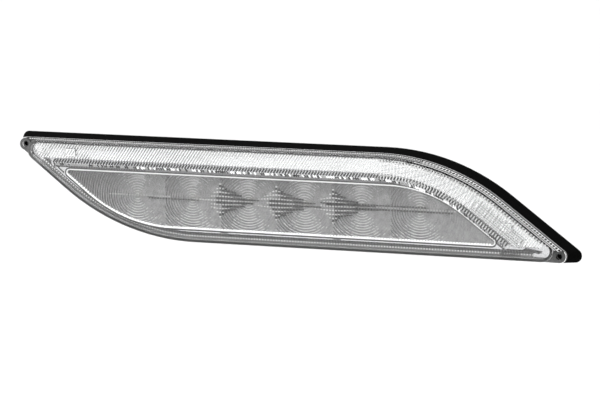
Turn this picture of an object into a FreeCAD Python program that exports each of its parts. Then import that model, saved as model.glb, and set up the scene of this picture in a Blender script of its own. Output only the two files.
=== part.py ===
"""Surface-mounted LED reversing light: leaf-shaped clear lens with a ribbed light guide on a black housing.

The origin lies on the mounting plane, halfway between the two screw holes in the tips. +X runs along the
lamp, +Z is up and the light leaves along -Y. Depths are measured from the mounting plane towards the front.
"""
import FreeCAD
import Part
import Sketcher

import math
import os

# Driving dimensions in millimetres and degrees
SIZES = {
    # Leaf outline at the joint between lens and housing
    "hole_half_x": 184.0,
    "hole_half_z": 28.0,
    "hole_radius": 2.0,
    "tip_radius": 4.5,
    "right_slope": 36.6,
    "left_slope": 37.8,
    "right_bend": 138.0,
    "left_bend": 152.0,
    # Housing and foam pad
    "pad_thickness": 2.0,
    "pad_inset": 0.5,
    "joint_depth": 17.5,
    "rear_flare": 1.9,
    "housing_wall": 4.0,
    "back_wall": 2.5,
    "cavity_tip": 9.0,
    "floor_rib_width": 1.5,
    "floor_rib_height": 3.0,
    "floor_rib_length": 34.0,
    "floor_rib_outer_x": 115.0,
    "floor_rib_inner_x": 80.0,
    "floor_rib_z": 6.0,
    # Outer lens and its seal
    "seal_thickness": 0.6,
    "flange_thickness": 2.4,
    "dome_inset": 1.0,
    "dome_tip": 7.0,
    "dome_height": 8.0,
    "lens_wall": 1.8,
    "lens_front": 2.2,
    "lens_edge": 1.5,
    "boss_radius": 4.0,
    "boss_height": 1.0,
    # Bright frame that carries the optics
    "frame_clearance": 0.2,
    "frame_thickness": 1.5,
    "frame_tip": 5.0,
    "strip_height": 2.8,
    "strip_top": 13.3,
    "strip_right": 18.3,
    "strip_bottom": 7.6,
    "strip_left": 6.6,
    "strip_bend": 107.7,
    "window_ledge": 2.0,
    # Light guide
    "guide_top": 3.3,
    "guide_right": 3.6,
    "guide_bottom": 9.5,
    "guide_left": 6.0,
    "guide_left_tip": 3.5,
    "guide_right_tip": 2.5,
    "guide_inner_top": 13.0,
    "guide_inner_right": 18.0,
    "guide_inner_bend": 108.0,
    "guide_thickness": 2.9,
    "rib_pitch": 2.0,
    "rib_depth": 0.8,
    "rib_angle": 56.0,
    "reflector_thickness": 1.0,
    "leg_length": 6.0,
    "leg_width": 4.0,
    "leg_from_hole": 34.0,
    "left_leg_drop": 4.0,
    "right_leg_rise": 17.5,
    "leg_gap": 0.2,
    # Fresnel optic
    "optic_top": 19.6,
    "optic_right": 22.2,
    "optic_bottom": 9.2,
    "optic_left": 8.2,
    "optic_tip": 2.5,
    "optic_right_bend": 85.0,
    "optic_left_bend": 98.0,
    "optic_thickness": 1.6,
    "optic_rim_width": 1.1,
    "optic_rim_height": 3.2,
    "ring_pitch": 6.0,
    "ring_count": 4,
    "ring_step": 0.8,
    "tab_length": 5.0,
    "tab_depth": 1.2,
    "tab_left_x": 41.3,
    "tab_right_x": 36.5,
    # Boards and lamps
    "board_depth": 12.4,
    "board_thickness": 1.6,
    "board_inset": 6.0,
    "board_tip": 9.0,
    "led_count": 6,
    "led_pitch": 39.0,
    "led_row_x": 5.0,
    "led_row_z": 3.0,
    "led_side": 3.5,
    "led_base": 0.7,
    "led_window": 1.4,
    "led_window_height": 0.3,
    "tray_inset": 1.0,
    "tray_wall": 1.2,
    "tray_floor": 1.0,
    "tray_hole": 3.0,
    # Board screws
    "screw_row_x": 92.0,
    "screw_row_z": 20.0,
    "screw_end_from_hole": 56.0,
    "screw_end_rise": 24.0,
    "screw_radius": 1.25,
    "screw_head_radius": 2.4,
    "screw_head": 1.6,
    "screw_length": 8.0,
    "post_radius": 3.2,
    "screw_clearance": 0.15,
    # Connector socket in the back
    "socket_x": 58.0,
    "socket_z": 4.0,
    "socket_length": 18.0,
    "socket_height": 9.0,
    "socket_wall": 2.0,
    "socket_end": 1.4,
    "pin_side": 1.2,
    "pin_pitch": 5.0,
    "pin_reach": 5.5,
    "pad_margin": 2.5,
    # Breather plug in the back
    "vent_x": 96.0,
    "vent_z": 4.0,
    "vent_radius": 6.0,
    "vent_bore": 1.0,
    "vent_thickness": 1.2,
    # Driver parts on the back of the board
    "chip_length": 6.0,
    "chip_width": 5.0,
    "chip_height": 1.5,
    "coil_side": 7.5,
    "coil_height": 4.0,
    "capacitor_radius": 3.2,
    "capacitor_height": 5.4,
    "diode_length": 4.6,
    "diode_width": 2.8,
    "diode_height": 2.2,
    "driver_x": 30.0,
    "driver_pitch": 14.0,
    "driver_z": 8.0,
}

doc = FreeCAD.newDocument("ReversingLight")
sheet = doc.addObject("Spreadsheet::Sheet", "Sizes")
for row, (alias, size) in enumerate(SIZES.items(), start=1):
    sheet.set(f"A{row}", alias)
    sheet.set(f"B{row}", str(size))
    sheet.setAlias(f"B{row}", alias)
doc.recompute()


class Term:
    """A size together with the expression that yields it from the sheet."""

    def __init__(self, value, text):
        self.value = value
        self.text = text

    def join(self, other, mark, value):
        return Term(value, f"({self.text} {mark} {other.text})")

    def __add__(self, other):
        return self.join(other, "+", self.value + other.value)

    def __sub__(self, other):
        return self.join(other, "-", self.value - other.value)

    def __mul__(self, other):
        return self.join(other, "*", self.value * other.value)

    def __truediv__(self, other):
        return self.join(other, "/", self.value / other.value)

    def __neg__(self):
        return Term(-self.value, f"(0 - {self.text})")


def cell(alias):
    return Term(float(sheet.get(alias)), f"Sizes.{alias}")


def number(value):
    return Term(float(value), f"{value}")


def sine(angle):
    return Term(math.sin(math.radians(angle.value)), f"sin({angle.text})")


def cosine(angle):
    return Term(math.cos(math.radians(angle.value)), f"cos({angle.text})")


TWO = number(2)
joint = cell("joint_depth")
flange_front = joint + cell("flange_thickness")
lens_front = joint + cell("dome_height")
lens_inner_front = lens_front - cell("lens_front")
lens_inner = cell("dome_inset") + cell("lens_wall")
housing_back = cell("pad_thickness")
floor_front = housing_back + cell("back_wall")
frame_front = joint + cell("frame_thickness")
strip_front = frame_front + cell("strip_height")
reflector_front = frame_front + cell("reflector_thickness")
guide_front = reflector_front + cell("guide_thickness")
board_back = cell("board_depth")
board_front = board_back + cell("board_thickness")
led_front = board_front + cell("led_base")
optic_base_front = frame_front + cell("optic_thickness")
socket_floor = board_back - cell("socket_end")
left_hole = (-cell("hole_half_x"), cell("hole_half_z"))
right_hole = (cell("hole_half_x"), -cell("hole_half_z"))


class Leaf:
    """Leaf outline set in from the lens joint by a distance of its own on each of its four sides."""

    def __init__(self, top, right, bottom, left, left_tip, right_tip=None, right_bend=None, left_bend=None):
        self.right_slope = cell("right_slope")
        self.left_slope = cell("left_slope")
        self.left_tip = left_tip
        self.right_tip = right_tip or left_tip
        self.right_bend = right_bend or cell("right_bend") - right
        self.left_bend = left_bend or cell("left_bend") - left
        shrink = self.left_tip - cell("tip_radius")
        self.left_x, self.left_z = self.tip_centre(self.left_slope, top + shrink, left + shrink)
        shrink = self.right_tip - cell("tip_radius")
        right_x, right_z = self.tip_centre(self.right_slope, bottom + shrink, right + shrink)
        self.right_x, self.right_z = -right_x, -right_z
        self.right_bend_z = self.left_z + self.left_tip - self.right_bend
        drop = cosine(self.right_slope) * (self.right_bend_z - self.right_z)
        reach = self.right_tip - self.right_bend - drop
        self.right_bend_x = self.right_x + reach / sine(self.right_slope)
        self.left_bend_z = self.right_z - self.right_tip + self.left_bend
        climb = cosine(self.left_slope) * (self.left_z - self.left_bend_z)
        reach = self.left_tip - self.left_bend - climb
        self.left_bend_x = self.left_x - reach / sine(self.left_slope)

    @staticmethod
    def tip_centre(slope, flat, slanted):
        x = (slanted + cosine(slope) * flat) / sine(slope) - cell("hole_half_x")
        return x, cell("hole_half_z") - flat


def uniform(inset, tip):
    return Leaf(inset, inset, inset, inset, tip)


def new_body(name):
    body = doc.addObject("PartDesign::Body", name)
    body.Label = name
    return body


def new_sketch(body, name, depth):
    """Sketch parallel to the mounting plane, drawn as seen from the front."""
    sketch = body.newObject("Sketcher::SketchObject", name)
    plane = next(item for item in body.Origin.OriginFeatures if item.Role == "XZ_Plane")
    sketch.AttachmentSupport = [(plane, "")]
    sketch.MapMode = "FlatFace"
    sketch.AttachmentOffset = FreeCAD.Placement(FreeCAD.Vector(0, 0, depth.value), FreeCAD.Rotation())
    sketch.setExpression("AttachmentOffset.Base.z", depth.text)
    return sketch


class Dimensions:
    """Constraints of one drawing, added together so that the sketch is solved once."""

    def __init__(self, sketch):
        self.sketch = sketch
        self.constraints = []
        self.texts = {}

    def fix(self, *relation):
        self.constraints.append(Sketcher.Constraint(*relation))

    def size(self, term, *relation):
        self.texts[len(self.constraints)] = term.text
        self.fix(*relation)

    def place(self, shape, point, x, z):
        """Places a point of a shape from the sketch's origin, each way with a positive size."""
        for axis, term in (("DistanceX", x), ("DistanceY", z)):
            if term.value < 0:
                self.size(-term, axis, shape, point, -1, 1, -term.value)
            else:
                self.size(term, axis, -1, 1, shape, point, term.value)

    def apply(self):
        first = self.sketch.ConstraintCount
        self.sketch.addConstraint(self.constraints)
        for index, text in self.texts.items():
            self.sketch.setExpression(f"Constraints[{first + index}]", text)


def flat_point(x, z):
    return FreeCAD.Vector(x, z, 0)


def draw_arc(sketch, x, z, radius, start, end):
    circle = Part.Circle(flat_point(x, z), FreeCAD.Vector(0, 0, 1), radius)
    return sketch.addGeometry(Part.ArcOfCircle(circle, math.radians(start), math.radians(end)), False)


def draw_leaf(sketch, leaf):
    """Two straight flats, two slopes, two wide bends and two round tips, all tangent."""
    right_normal = 90 - leaf.right_slope.value
    left_normal = 270 - leaf.left_slope.value
    round_right = leaf.right_tip.value
    round_left = leaf.left_tip.value
    right_tip = (leaf.right_x.value, leaf.right_z.value)
    left_tip = (leaf.left_x.value, leaf.left_z.value)
    right_bend = (leaf.right_bend_x.value, leaf.right_bend_z.value)
    left_bend = (leaf.left_bend_x.value, leaf.left_bend_z.value)

    def at(centre, radius, angle):
        turn = math.radians(angle)
        return flat_point(centre[0] + radius * math.cos(turn), centre[1] + radius * math.sin(turn))

    def line(start, end):
        return sketch.addGeometry(Part.LineSegment(start, end), False)

    wide_right = leaf.right_bend.value
    wide_left = leaf.left_bend.value
    tip_r = draw_arc(sketch, *right_tip, round_right, -90, right_normal)
    slope_r = line(at(right_tip, round_right, right_normal), at(right_bend, wide_right, right_normal))
    bend_r = draw_arc(sketch, *right_bend, wide_right, right_normal, 90)
    top = line(at(right_bend, wide_right, 90), at(left_tip, round_left, 90))
    tip_l = draw_arc(sketch, *left_tip, round_left, 90, left_normal)
    slope_l = line(at(left_bend, wide_left, left_normal), at(left_tip, round_left, left_normal))
    bend_l = draw_arc(sketch, *left_bend, wide_left, left_normal, 270)
    bottom = line(at(left_bend, wide_left, 270), at(right_tip, round_right, -90))
    joints = (
        (tip_r, 2, slope_r, 1), (slope_r, 2, bend_r, 1), (bend_r, 2, top, 1), (top, 2, tip_l, 1),
        (tip_l, 2, slope_l, 2), (slope_l, 1, bend_l, 1), (bend_l, 2, bottom, 1), (bottom, 2, tip_r, 1),
    )
    dimensions = Dimensions(sketch)
    for ends in joints:
        dimensions.fix("Tangent", *ends)
    tips = ((tip_r, leaf.right_tip), (tip_l, leaf.left_tip))
    bends = ((bend_r, leaf.right_bend), (bend_l, leaf.left_bend))
    for arc, radius in (*tips, *bends):
        dimensions.size(radius, "Radius", arc, radius.value)
    dimensions.place(tip_r, 3, leaf.right_x, leaf.right_z)
    dimensions.place(tip_l, 3, leaf.left_x, leaf.left_z)
    dimensions.place(bend_r, 3, leaf.right_bend_x, leaf.right_bend_z)
    dimensions.place(bend_l, 3, leaf.left_bend_x, leaf.left_bend_z)
    dimensions.apply()


def draw_circle(sketch, place, radius):
    x, z = place
    circle = Part.Circle(flat_point(x.value, z.value), FreeCAD.Vector(0, 0, 1), radius.value)
    shape = sketch.addGeometry(circle, False)
    dimensions = Dimensions(sketch)
    dimensions.size(radius, "Radius", shape, radius.value)
    dimensions.place(shape, 3, x, z)
    dimensions.apply()


def draw_rectangle(sketch, place, width, height):
    """Upright rectangle around a centre."""
    low_x, low_z = place[0] - width / TWO, place[1] - height / TWO
    x, z, w, tall = low_x.value, low_z.value, width.value, height.value
    corners = [flat_point(x, z), flat_point(x + w, z), flat_point(x + w, z + tall), flat_point(x, z + tall)]
    sides = [
        sketch.addGeometry(Part.LineSegment(corners[i], corners[(i + 1) % 4]), False) for i in range(4)
    ]
    dimensions = Dimensions(sketch)
    for i, side in enumerate(sides):
        dimensions.fix("Coincident", side, 2, sides[(i + 1) % 4], 1)
        dimensions.fix("Vertical" if i % 2 else "Horizontal", side)
    dimensions.size(width, "DistanceX", sides[0], 1, sides[0], 2, w)
    dimensions.size(height, "DistanceY", sides[1], 1, sides[1], 2, tall)
    dimensions.place(sides[0], 1, low_x, low_z)
    dimensions.apply()


def extrude(body, kind, name, start, length, drawings):
    """Pads from a depth towards the front, or pockets from a depth towards the back."""
    sketch = new_sketch(body, f"{name}_sketch", start)
    for draw, arguments in drawings:
        draw(sketch, *arguments)
    before = body.Shape.Volume if body.Tip else 0.0
    feature = body.newObject(f"PartDesign::{kind}", name)
    feature.Profile = sketch
    feature.Length = length.value
    feature.setExpression("Length", length.text)
    doc.recompute()
    change = body.Shape.Volume - before
    if (change > 0) != (kind == "Pad") or abs(change) < 1e-6:
        raise RuntimeError(f"{name} changed the volume by {change}")
    return feature


def pad(body, name, start, length, *drawings):
    return extrude(body, "Pad", name, start, length, drawings)


def pocket(body, name, start, length, *drawings):
    return extrude(body, "Pocket", name, start, length, drawings)


def leaf_of(leaf):
    return draw_leaf, (leaf,)


def circle_at(place, radius):
    return draw_circle, (place, radius)


def rectangle_at(place, width, height):
    return draw_rectangle, (place, width, height)


def part_object(kind, name, place, **sizes):
    """Part primitive whose sizes and place come from the sheet."""
    shape = doc.addObject(f"Part::{kind}", name)
    shape.Label = name
    for prop, term in sizes.items():
        setattr(shape, prop, term.value)
        shape.setExpression(prop, term.text)
    x, depth, z = place
    shape.Placement.Base = FreeCAD.Vector(x.value, -depth.value, z.value)
    for axis, term in (("x", x), ("y", -depth), ("z", z)):
        shape.setExpression(f"Placement.Base.{axis}", term.text)
    return shape


def face_front(shape):
    """Turns a primitive so that its axis points to the front."""
    shape.Placement.Rotation = FreeCAD.Rotation(FreeCAD.Vector(1, 0, 0), 90)


def block(name, place, width, tall, back, thickness):
    """Box around a place on the board, from a depth towards the front."""
    x, z = place
    corner = (x - width / TWO, back + thickness, z - tall / TWO)
    return part_object("Box", name, corner, Length=width, Width=thickness, Height=tall)


def boolean(kind, name, base, tool):
    result = doc.addObject(f"Part::{kind}", name)
    result.Label = name
    result.Base = base
    result.Tool = tool
    return result


outline = uniform(number(0), cell("tip_radius"))
rear_outline = uniform(-cell("rear_flare"), cell("tip_radius"))
tip_holes = [circle_at(left_hole, cell("hole_radius")), circle_at(right_hole, cell("hole_radius"))]
socket_place = (cell("socket_x"), -cell("socket_z"))
vent_place = (-cell("vent_x"), -cell("vent_z"))
tower_length = cell("socket_length") + TWO * cell("socket_wall")
tower_height = cell("socket_height") + TWO * cell("socket_wall")
pin_places = [
    (socket_place[0] + number(step) * cell("pin_pitch"), socket_place[1]) for step in (-1, 0, 1)
]
screw_places = [
    (-cell("screw_row_x") - cell("screw_row_x") / TWO, cell("screw_row_z")),
    (-cell("screw_row_x") / TWO, cell("screw_row_z")),
    (cell("screw_row_x") / TWO, cell("screw_row_z")),
    (cell("hole_half_x") - cell("screw_end_from_hole"), cell("screw_end_rise") - cell("hole_half_z")),
]
leg_places = [
    (cell("leg_from_hole") - cell("hole_half_x"), cell("hole_half_z") - cell("left_leg_drop")),
    (cell("hole_half_x") - cell("leg_from_hole"), cell("right_leg_rise") - cell("hole_half_z")),
]
half_row = (SIZES["led_count"] - 1) / 2
led_places = [
    (number(step - half_row) * cell("led_pitch") - cell("led_row_x"), -cell("led_row_z"))
    for step in range(SIZES["led_count"])
]

# Foam pad between the housing and the vehicle
mounting_pad = new_body("mounting_pad")
pad_leaf = uniform(cell("pad_inset") - cell("rear_flare"), cell("tip_radius"))
socket_gap = TWO * cell("pad_margin")
pad(
    mounting_pad, "pad_sheet", number(0), cell("pad_thickness"), leaf_of(pad_leaf), *tip_holes,
    rectangle_at(socket_place, tower_length + socket_gap, tower_height + socket_gap),
    circle_at(vent_place, cell("vent_radius") + cell("pad_margin")),
)

# Black housing: flared shell, connector tower, board posts, stiffening ribs and breather seat
housing = new_body("housing")
rear_sketch = new_sketch(housing, "housing_rear", housing_back)
draw_leaf(rear_sketch, rear_outline)
front_sketch = new_sketch(housing, "housing_front", joint)
draw_leaf(front_sketch, outline)
doc.recompute()
shell = housing.newObject("PartDesign::AdditiveLoft", "housing_shell")
shell.Profile = rear_sketch
shell.Sections = [front_sketch]
shell.Ruled = True
doc.recompute()
cavity_depth = joint - floor_front
cavity_leaf = uniform(cell("housing_wall"), cell("cavity_tip"))
pocket(housing, "cavity", joint, cavity_depth, leaf_of(cavity_leaf))
stand = board_back - floor_front
pad(housing, "socket_tower", floor_front, stand, rectangle_at(socket_place, tower_length, tower_height))
posts = [circle_at(place, cell("post_radius")) for place in screw_places]
pad(housing, "board_posts", floor_front, stand, *posts)
rib_places = [
    (number(side) * x, number(-side) * cell("floor_rib_z"))
    for side in (-1, 1) for x in (cell("floor_rib_outer_x"), cell("floor_rib_inner_x"))
]
rib_width = cell("floor_rib_width")
floor_ribs = [rectangle_at(place, rib_width, cell("floor_rib_length")) for place in rib_places]
pad(housing, "floor_ribs", floor_front, cell("floor_rib_height"), *floor_ribs)
pilot = cell("screw_radius")
screw_reach = cell("screw_length") - cell("board_thickness") + cell("screw_clearance")
pocket(housing, "post_bores", board_back, screw_reach, *[circle_at(place, pilot) for place in screw_places])
pocket(
    housing, "socket_hollow", socket_floor, socket_floor - housing_back,
    rectangle_at(socket_place, cell("socket_length"), cell("socket_height")),
)
pins = [rectangle_at(place, cell("pin_side"), cell("pin_side")) for place in pin_places]
pocket(housing, "pin_slots", board_back, cell("socket_end"), *pins)
pocket(housing, "breather_bore", floor_front, cell("back_wall"), circle_at(vent_place, cell("vent_bore")))
vent_seat = housing_back + cell("vent_thickness")
vent_disc = circle_at(vent_place, cell("vent_radius"))
pocket(housing, "breather_seat", vent_seat, cell("vent_thickness"), vent_disc)
pocket(housing, "tip_bores", joint, joint - housing_back, *tip_holes)

# Pale seal ring between the housing and the lens
lens_seal = new_body("lens_seal")
hollow_leaf = uniform(lens_inner, cell("dome_tip") - cell("lens_wall"))
pad(
    lens_seal, "seal_ring", joint, cell("seal_thickness"),
    leaf_of(outline), leaf_of(hollow_leaf), *tip_holes,
)

# Clear outer lens: flange, dome with rounded front edge, hollow, screw bosses
outer_lens = new_body("outer_lens")
dome_leaf = uniform(cell("dome_inset"), cell("dome_tip"))
seal_front = joint + cell("seal_thickness")
pad(outer_lens, "flange", seal_front, flange_front - seal_front, leaf_of(outline))
dome = pad(outer_lens, "dome", flange_front, lens_front - flange_front, leaf_of(dome_leaf))
rim_edges = [
    f"Edge{index}" for index, edge in enumerate(outer_lens.Shape.Edges, start=1)
    if abs(edge.BoundBox.YMax + lens_front.value) < 1e-4
]
rounding = outer_lens.newObject("PartDesign::Fillet", "dome_edge")
rounding.Base = (dome, rim_edges)
rounding.Radius = SIZES["lens_edge"]
rounding.setExpression("Radius", cell("lens_edge").text)
doc.recompute()
pocket(outer_lens, "lens_hollow", lens_inner_front, lens_inner_front - joint, leaf_of(hollow_leaf))
bosses = [circle_at(left_hole, cell("boss_radius")), circle_at(right_hole, cell("boss_radius"))]
pad(outer_lens, "screw_bosses", flange_front, cell("boss_height"), *bosses)
boss_front = flange_front + cell("boss_height")
pocket(outer_lens, "lens_bores", boss_front, boss_front - joint, *tip_holes)

# Bright frame: plate on the housing wall, raised strip between guide and optic, optic seat and window
bezel_frame = new_body("bezel_frame")
frame_leaf = uniform(lens_inner + cell("frame_clearance"), cell("frame_tip"))
strip_leaf = Leaf(
    cell("strip_top"), cell("strip_right"), cell("strip_bottom"), cell("strip_left"),
    cell("optic_tip"), right_bend=cell("strip_bend"),
)


def optic_leaf(inset):
    """Outline of the Fresnel optic, set in all round."""
    return Leaf(
        cell("optic_top") + inset, cell("optic_right") + inset, cell("optic_bottom") + inset,
        cell("optic_left") + inset, cell("optic_tip"),
        right_bend=cell("optic_right_bend") - inset, left_bend=cell("optic_left_bend") - inset,
    )


def guide_leaf(inset):
    """Outer outline of the light guide, set in all round."""
    return Leaf(
        cell("guide_top") + inset, cell("guide_right") + inset, cell("guide_bottom") + inset,
        cell("guide_left") + inset, cell("guide_left_tip"), cell("guide_right_tip"),
    )


def guide_cut(inset):
    """Outline that takes away everything on the optic's side of the light guide."""
    beyond = cell("guide_inner_right")
    return Leaf(
        cell("guide_inner_top") - inset, cell("guide_inner_right") - inset, -beyond, -beyond,
        cell("optic_tip"), right_bend=cell("guide_inner_bend") + inset,
    )


seat = cell("frame_clearance")
pad(bezel_frame, "frame_plate", joint, cell("frame_thickness"), leaf_of(frame_leaf))
pad(bezel_frame, "raised_strip", frame_front, cell("strip_height"), leaf_of(strip_leaf))
pocket(bezel_frame, "optic_seat", strip_front, cell("strip_height"), leaf_of(optic_leaf(-seat)))
tab_places = [
    (-cell("tab_left_x"), cell("optic_bottom") - cell("hole_half_z") - cell("tip_radius")),
    (cell("tab_right_x"), cell("optic_bottom") - cell("hole_half_z") - cell("tip_radius")),
]
notch_size = (cell("tab_length") + TWO * seat, TWO * cell("tab_depth") + TWO * seat)
pocket(
    bezel_frame, "tab_notches", strip_front, cell("strip_height"),
    *[rectangle_at(place, *notch_size) for place in tab_places],
)
window_leaf = leaf_of(optic_leaf(cell("window_ledge")))
pocket(bezel_frame, "optic_window", frame_front, cell("frame_thickness"), window_leaf)
leg_gap = TWO * cell("leg_gap")
leg_slots = [
    rectangle_at(place, cell("leg_length") + leg_gap, cell("leg_width") + leg_gap) for place in leg_places
]
pocket(bezel_frame, "leg_slots", frame_front, cell("frame_thickness"), *leg_slots)

# White reflector behind the light guide
guide_reflector = new_body("guide_reflector")
pad(guide_reflector, "reflector_sheet", frame_front, cell("reflector_thickness"), leaf_of(guide_leaf(seat)))
pocket(
    guide_reflector, "reflector_cut", reflector_front, cell("reflector_thickness"),
    leaf_of(guide_cut(seat)),
)
pocket(guide_reflector, "reflector_slots", reflector_front, cell("reflector_thickness"), *leg_slots)

# Light guide: clear band with a leg to the lamp at each end and slanted ribs across its back
guide_band = new_body("guide_band")
pad(guide_band, "band", reflector_front, cell("guide_thickness"), leaf_of(guide_leaf(number(0))))
pocket(guide_band, "band_cut", guide_front, cell("guide_thickness"), leaf_of(guide_cut(number(0))))


def rib_comb():
    """Comb of slanted V grooves as wide as the light guide, one groove to each rib."""
    pitch = SIZES["rib_pitch"]
    depth = SIZES["rib_depth"]
    slant = math.radians(SIZES["rib_angle"])
    base = -reflector_front.value
    reach = SIZES["hole_half_x"] + SIZES["hole_half_z"]
    count = int(2 * reach / pitch)
    points = []
    for step in range(count):
        x = -reach + step * pitch
        points.append(FreeCAD.Vector(x, base, 0))
        points.append(FreeCAD.Vector(x + pitch / 2, base - depth, 0))
    first, last = points[0], points[-1]
    points.append(FreeCAD.Vector(last.x, base + depth, 0))
    points.append(FreeCAD.Vector(first.x, base + depth, 0))
    profile = Part.Face(Part.makePolygon(points + [first]))
    height = 2 * (SIZES["hole_half_z"] + SIZES["tip_radius"])
    shear = height / math.tan(slant)
    profile.translate(FreeCAD.Vector(-shear / 2, 0, -height / 2))
    return profile.extrude(FreeCAD.Vector(shear, 0, height))


guide_comb = doc.addObject("Part::Feature", "guide_comb")
guide_comb.Shape = rib_comb()
guide_comb.Placement = FreeCAD.Placement()
ribbed_band = boolean("Cut", "ribbed_band", guide_band, guide_comb)
guide_legs = new_body("guide_legs")
leg_back = led_front + cell("leg_gap")
pad(
    guide_legs, "legs", leg_back, reflector_front + cell("rib_depth") - leg_back,
    *[rectangle_at(place, cell("leg_length"), cell("leg_width")) for place in leg_places],
)
light_guide = boolean("Fuse", "light_guide", ribbed_band, guide_legs)

# Fresnel optic: base plate with rim and two locating tabs, and one set of ring steps over each lamp
optic_base = new_body("optic_base")
pad(optic_base, "optic_sheet", frame_front, cell("optic_thickness"), leaf_of(optic_leaf(number(0))))
pad(
    optic_base, "locating_tabs", frame_front, cell("optic_thickness"),
    *[rectangle_at(place, cell("tab_length"), TWO * cell("tab_depth")) for place in tab_places],
)
pad(
    optic_base, "optic_rim", optic_base_front, cell("optic_rim_height") - cell("optic_thickness"),
    leaf_of(optic_leaf(number(0))), leaf_of(optic_leaf(cell("optic_rim_width"))),
)
ring_field = new_body("ring_field")
field_leaf = leaf_of(optic_leaf(cell("optic_rim_width")))
pad(ring_field, "field", optic_base_front, TWO * cell("ring_step"), field_leaf)
doc.recompute()


def ring_disc(radius):
    """Fresnel disc: ring steps that fall outwards from the lamp's axis, then a plain land."""
    pitch = SIZES["ring_pitch"]
    step = SIZES["ring_step"]
    points = [FreeCAD.Vector(0, 0, 0)]
    for ring in range(SIZES["ring_count"]):
        points.append(FreeCAD.Vector(ring * pitch, -2 * step, 0))
        points.append(FreeCAD.Vector((ring + 1) * pitch, -step, 0))
    land = max(radius, (SIZES["ring_count"] + 1) * pitch)
    points.append(FreeCAD.Vector(land, -step, 0))
    points.append(FreeCAD.Vector(land, 0, 0))
    profile = Part.Face(Part.makePolygon(points + [points[0]]))
    return profile.revolve(FreeCAD.Vector(0, 0, 0), FreeCAD.Vector(0, 1, 0), 360)


def ring_cells():
    """Ring steps of every lamp, each set kept to its own stretch of the optic."""
    field = ring_field.Shape
    box = field.BoundBox
    pieces = []
    for place, _ in enumerate(led_places):
        x, z = led_places[place][0].value, led_places[place][1].value
        low = box.XMin if place == 0 else x - SIZES["led_pitch"] / 2
        high = box.XMax if place == len(led_places) - 1 else x + SIZES["led_pitch"] / 2
        corner = FreeCAD.Vector(low, box.YMin, box.ZMin)
        stretch = Part.makeBox(high - low, box.YLength, box.ZLength, corner)
        reach = math.hypot(max(x - low, high - x), max(box.ZMax - z, z - box.ZMin))
        disc = ring_disc(reach)
        disc.translate(FreeCAD.Vector(x, box.YMax, z))
        pieces.append(disc.common(field.common(stretch)))
    return pieces[0].multiFuse(pieces[1:])


optic_rings = doc.addObject("Part::Feature", "optic_rings")
optic_rings.Shape = ring_cells()
optic_rings.Placement = FreeCAD.Placement()
optic_plate = boolean("Fuse", "optic_plate", optic_base, optic_rings)

# Tray around the lamps
reflector_tray = new_body("reflector_tray")
tray_outer = cell("window_ledge") - cell("tray_inset")
tray_inner = tray_outer + cell("tray_wall")
tray_height = joint - board_front
pad(reflector_tray, "tray_block", board_front, tray_height, leaf_of(optic_leaf(tray_outer)))
hollow_depth = tray_height - cell("tray_floor")
pocket(reflector_tray, "tray_hollow", joint, hollow_depth, leaf_of(optic_leaf(tray_inner)))
tray_floor_front = board_front + cell("tray_floor")
pocket(
    reflector_tray, "lamp_holes", tray_floor_front, cell("tray_floor"),
    *[circle_at(place, cell("tray_hole")) for place in led_places],
)

# Lamp board with screw and pin holes
led_board = new_body("led_board")
screw_hole = cell("screw_radius") + cell("screw_clearance")
pad(
    led_board, "board_sheet", board_back, cell("board_thickness"),
    leaf_of(uniform(cell("board_inset"), cell("board_tip"))),
    *[circle_at(place, screw_hole) for place in screw_places], *pins,
)


def lamp(name, place):
    """Square LED package with its round light window."""
    side = cell("led_side")
    package = block(f"{name}_package", place, side, side, board_front, cell("led_base"))
    window_place = (place[0], led_front, place[1])
    window = part_object(
        "Cylinder", f"{name}_window", window_place,
        Radius=cell("led_window"), Height=cell("led_window_height"),
    )
    face_front(window)
    return boolean("Fuse", name, package, window)


lamps = [lamp(f"led_{index}", place) for index, place in enumerate(led_places, start=1)]
guide_lamps = [
    block(f"guide_led_{side}", place, cell("led_side"), cell("led_side"), board_front, cell("led_base"))
    for side, place in zip(("left", "right"), leg_places)
]

# Board screws as one group of separate solids
board_screws = doc.addObject("Part::Feature", "board_screws")
screw_solids = []
front = FreeCAD.Vector(0, -1, 0)
for x, z in screw_places:
    under_head = FreeCAD.Vector(x.value, -board_front.value, z.value)
    tip = under_head - front * SIZES["screw_length"]
    shank = Part.makeCylinder(SIZES["screw_radius"], SIZES["screw_length"], tip, front)
    head = Part.makeCylinder(SIZES["screw_head_radius"], SIZES["screw_head"], under_head, front)
    screw_solids.append(shank.fuse(head))
board_screws.Shape = Part.makeCompound(screw_solids)
board_screws.Placement = FreeCAD.Placement()

# Connector pins, breather and driver parts
pin_length = board_front - cell("pin_reach")
terminals = [
    block(f"terminal_{index}", place, cell("pin_side"), cell("pin_side"), cell("pin_reach"), pin_length)
    for index, place in enumerate(pin_places, start=1)
]
vent_plug = part_object(
    "Cylinder", "vent_plug", (vent_place[0], housing_back, vent_place[1]),
    Radius=cell("vent_radius"), Height=cell("vent_thickness"),
)
face_front(vent_plug)


def driver_place(step):
    return number(step) * cell("driver_pitch") - cell("driver_x"), cell("driver_z")


def under_board(name, step, width, tall, height):
    """Box soldered to the back of the board."""
    return block(name, driver_place(step), width, tall, board_back - height, height)


driver_parts = [
    under_board("driver_chip", 0, cell("chip_length"), cell("chip_width"), cell("chip_height")),
    under_board("storage_coil", 1, cell("coil_side"), cell("coil_side"), cell("coil_height")),
    under_board("input_diode", 2, cell("diode_length"), cell("diode_width"), cell("diode_height")),
]
for index, step in enumerate((-1, -2), start=1):
    x, z = driver_place(step)
    can_back = board_back - cell("capacitor_height")
    can = part_object(
        "Cylinder", f"capacitor_{index}", (x, can_back, z),
        Radius=cell("capacitor_radius"), Height=cell("capacitor_height"),
    )
    face_front(can)
    driver_parts.append(can)

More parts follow.
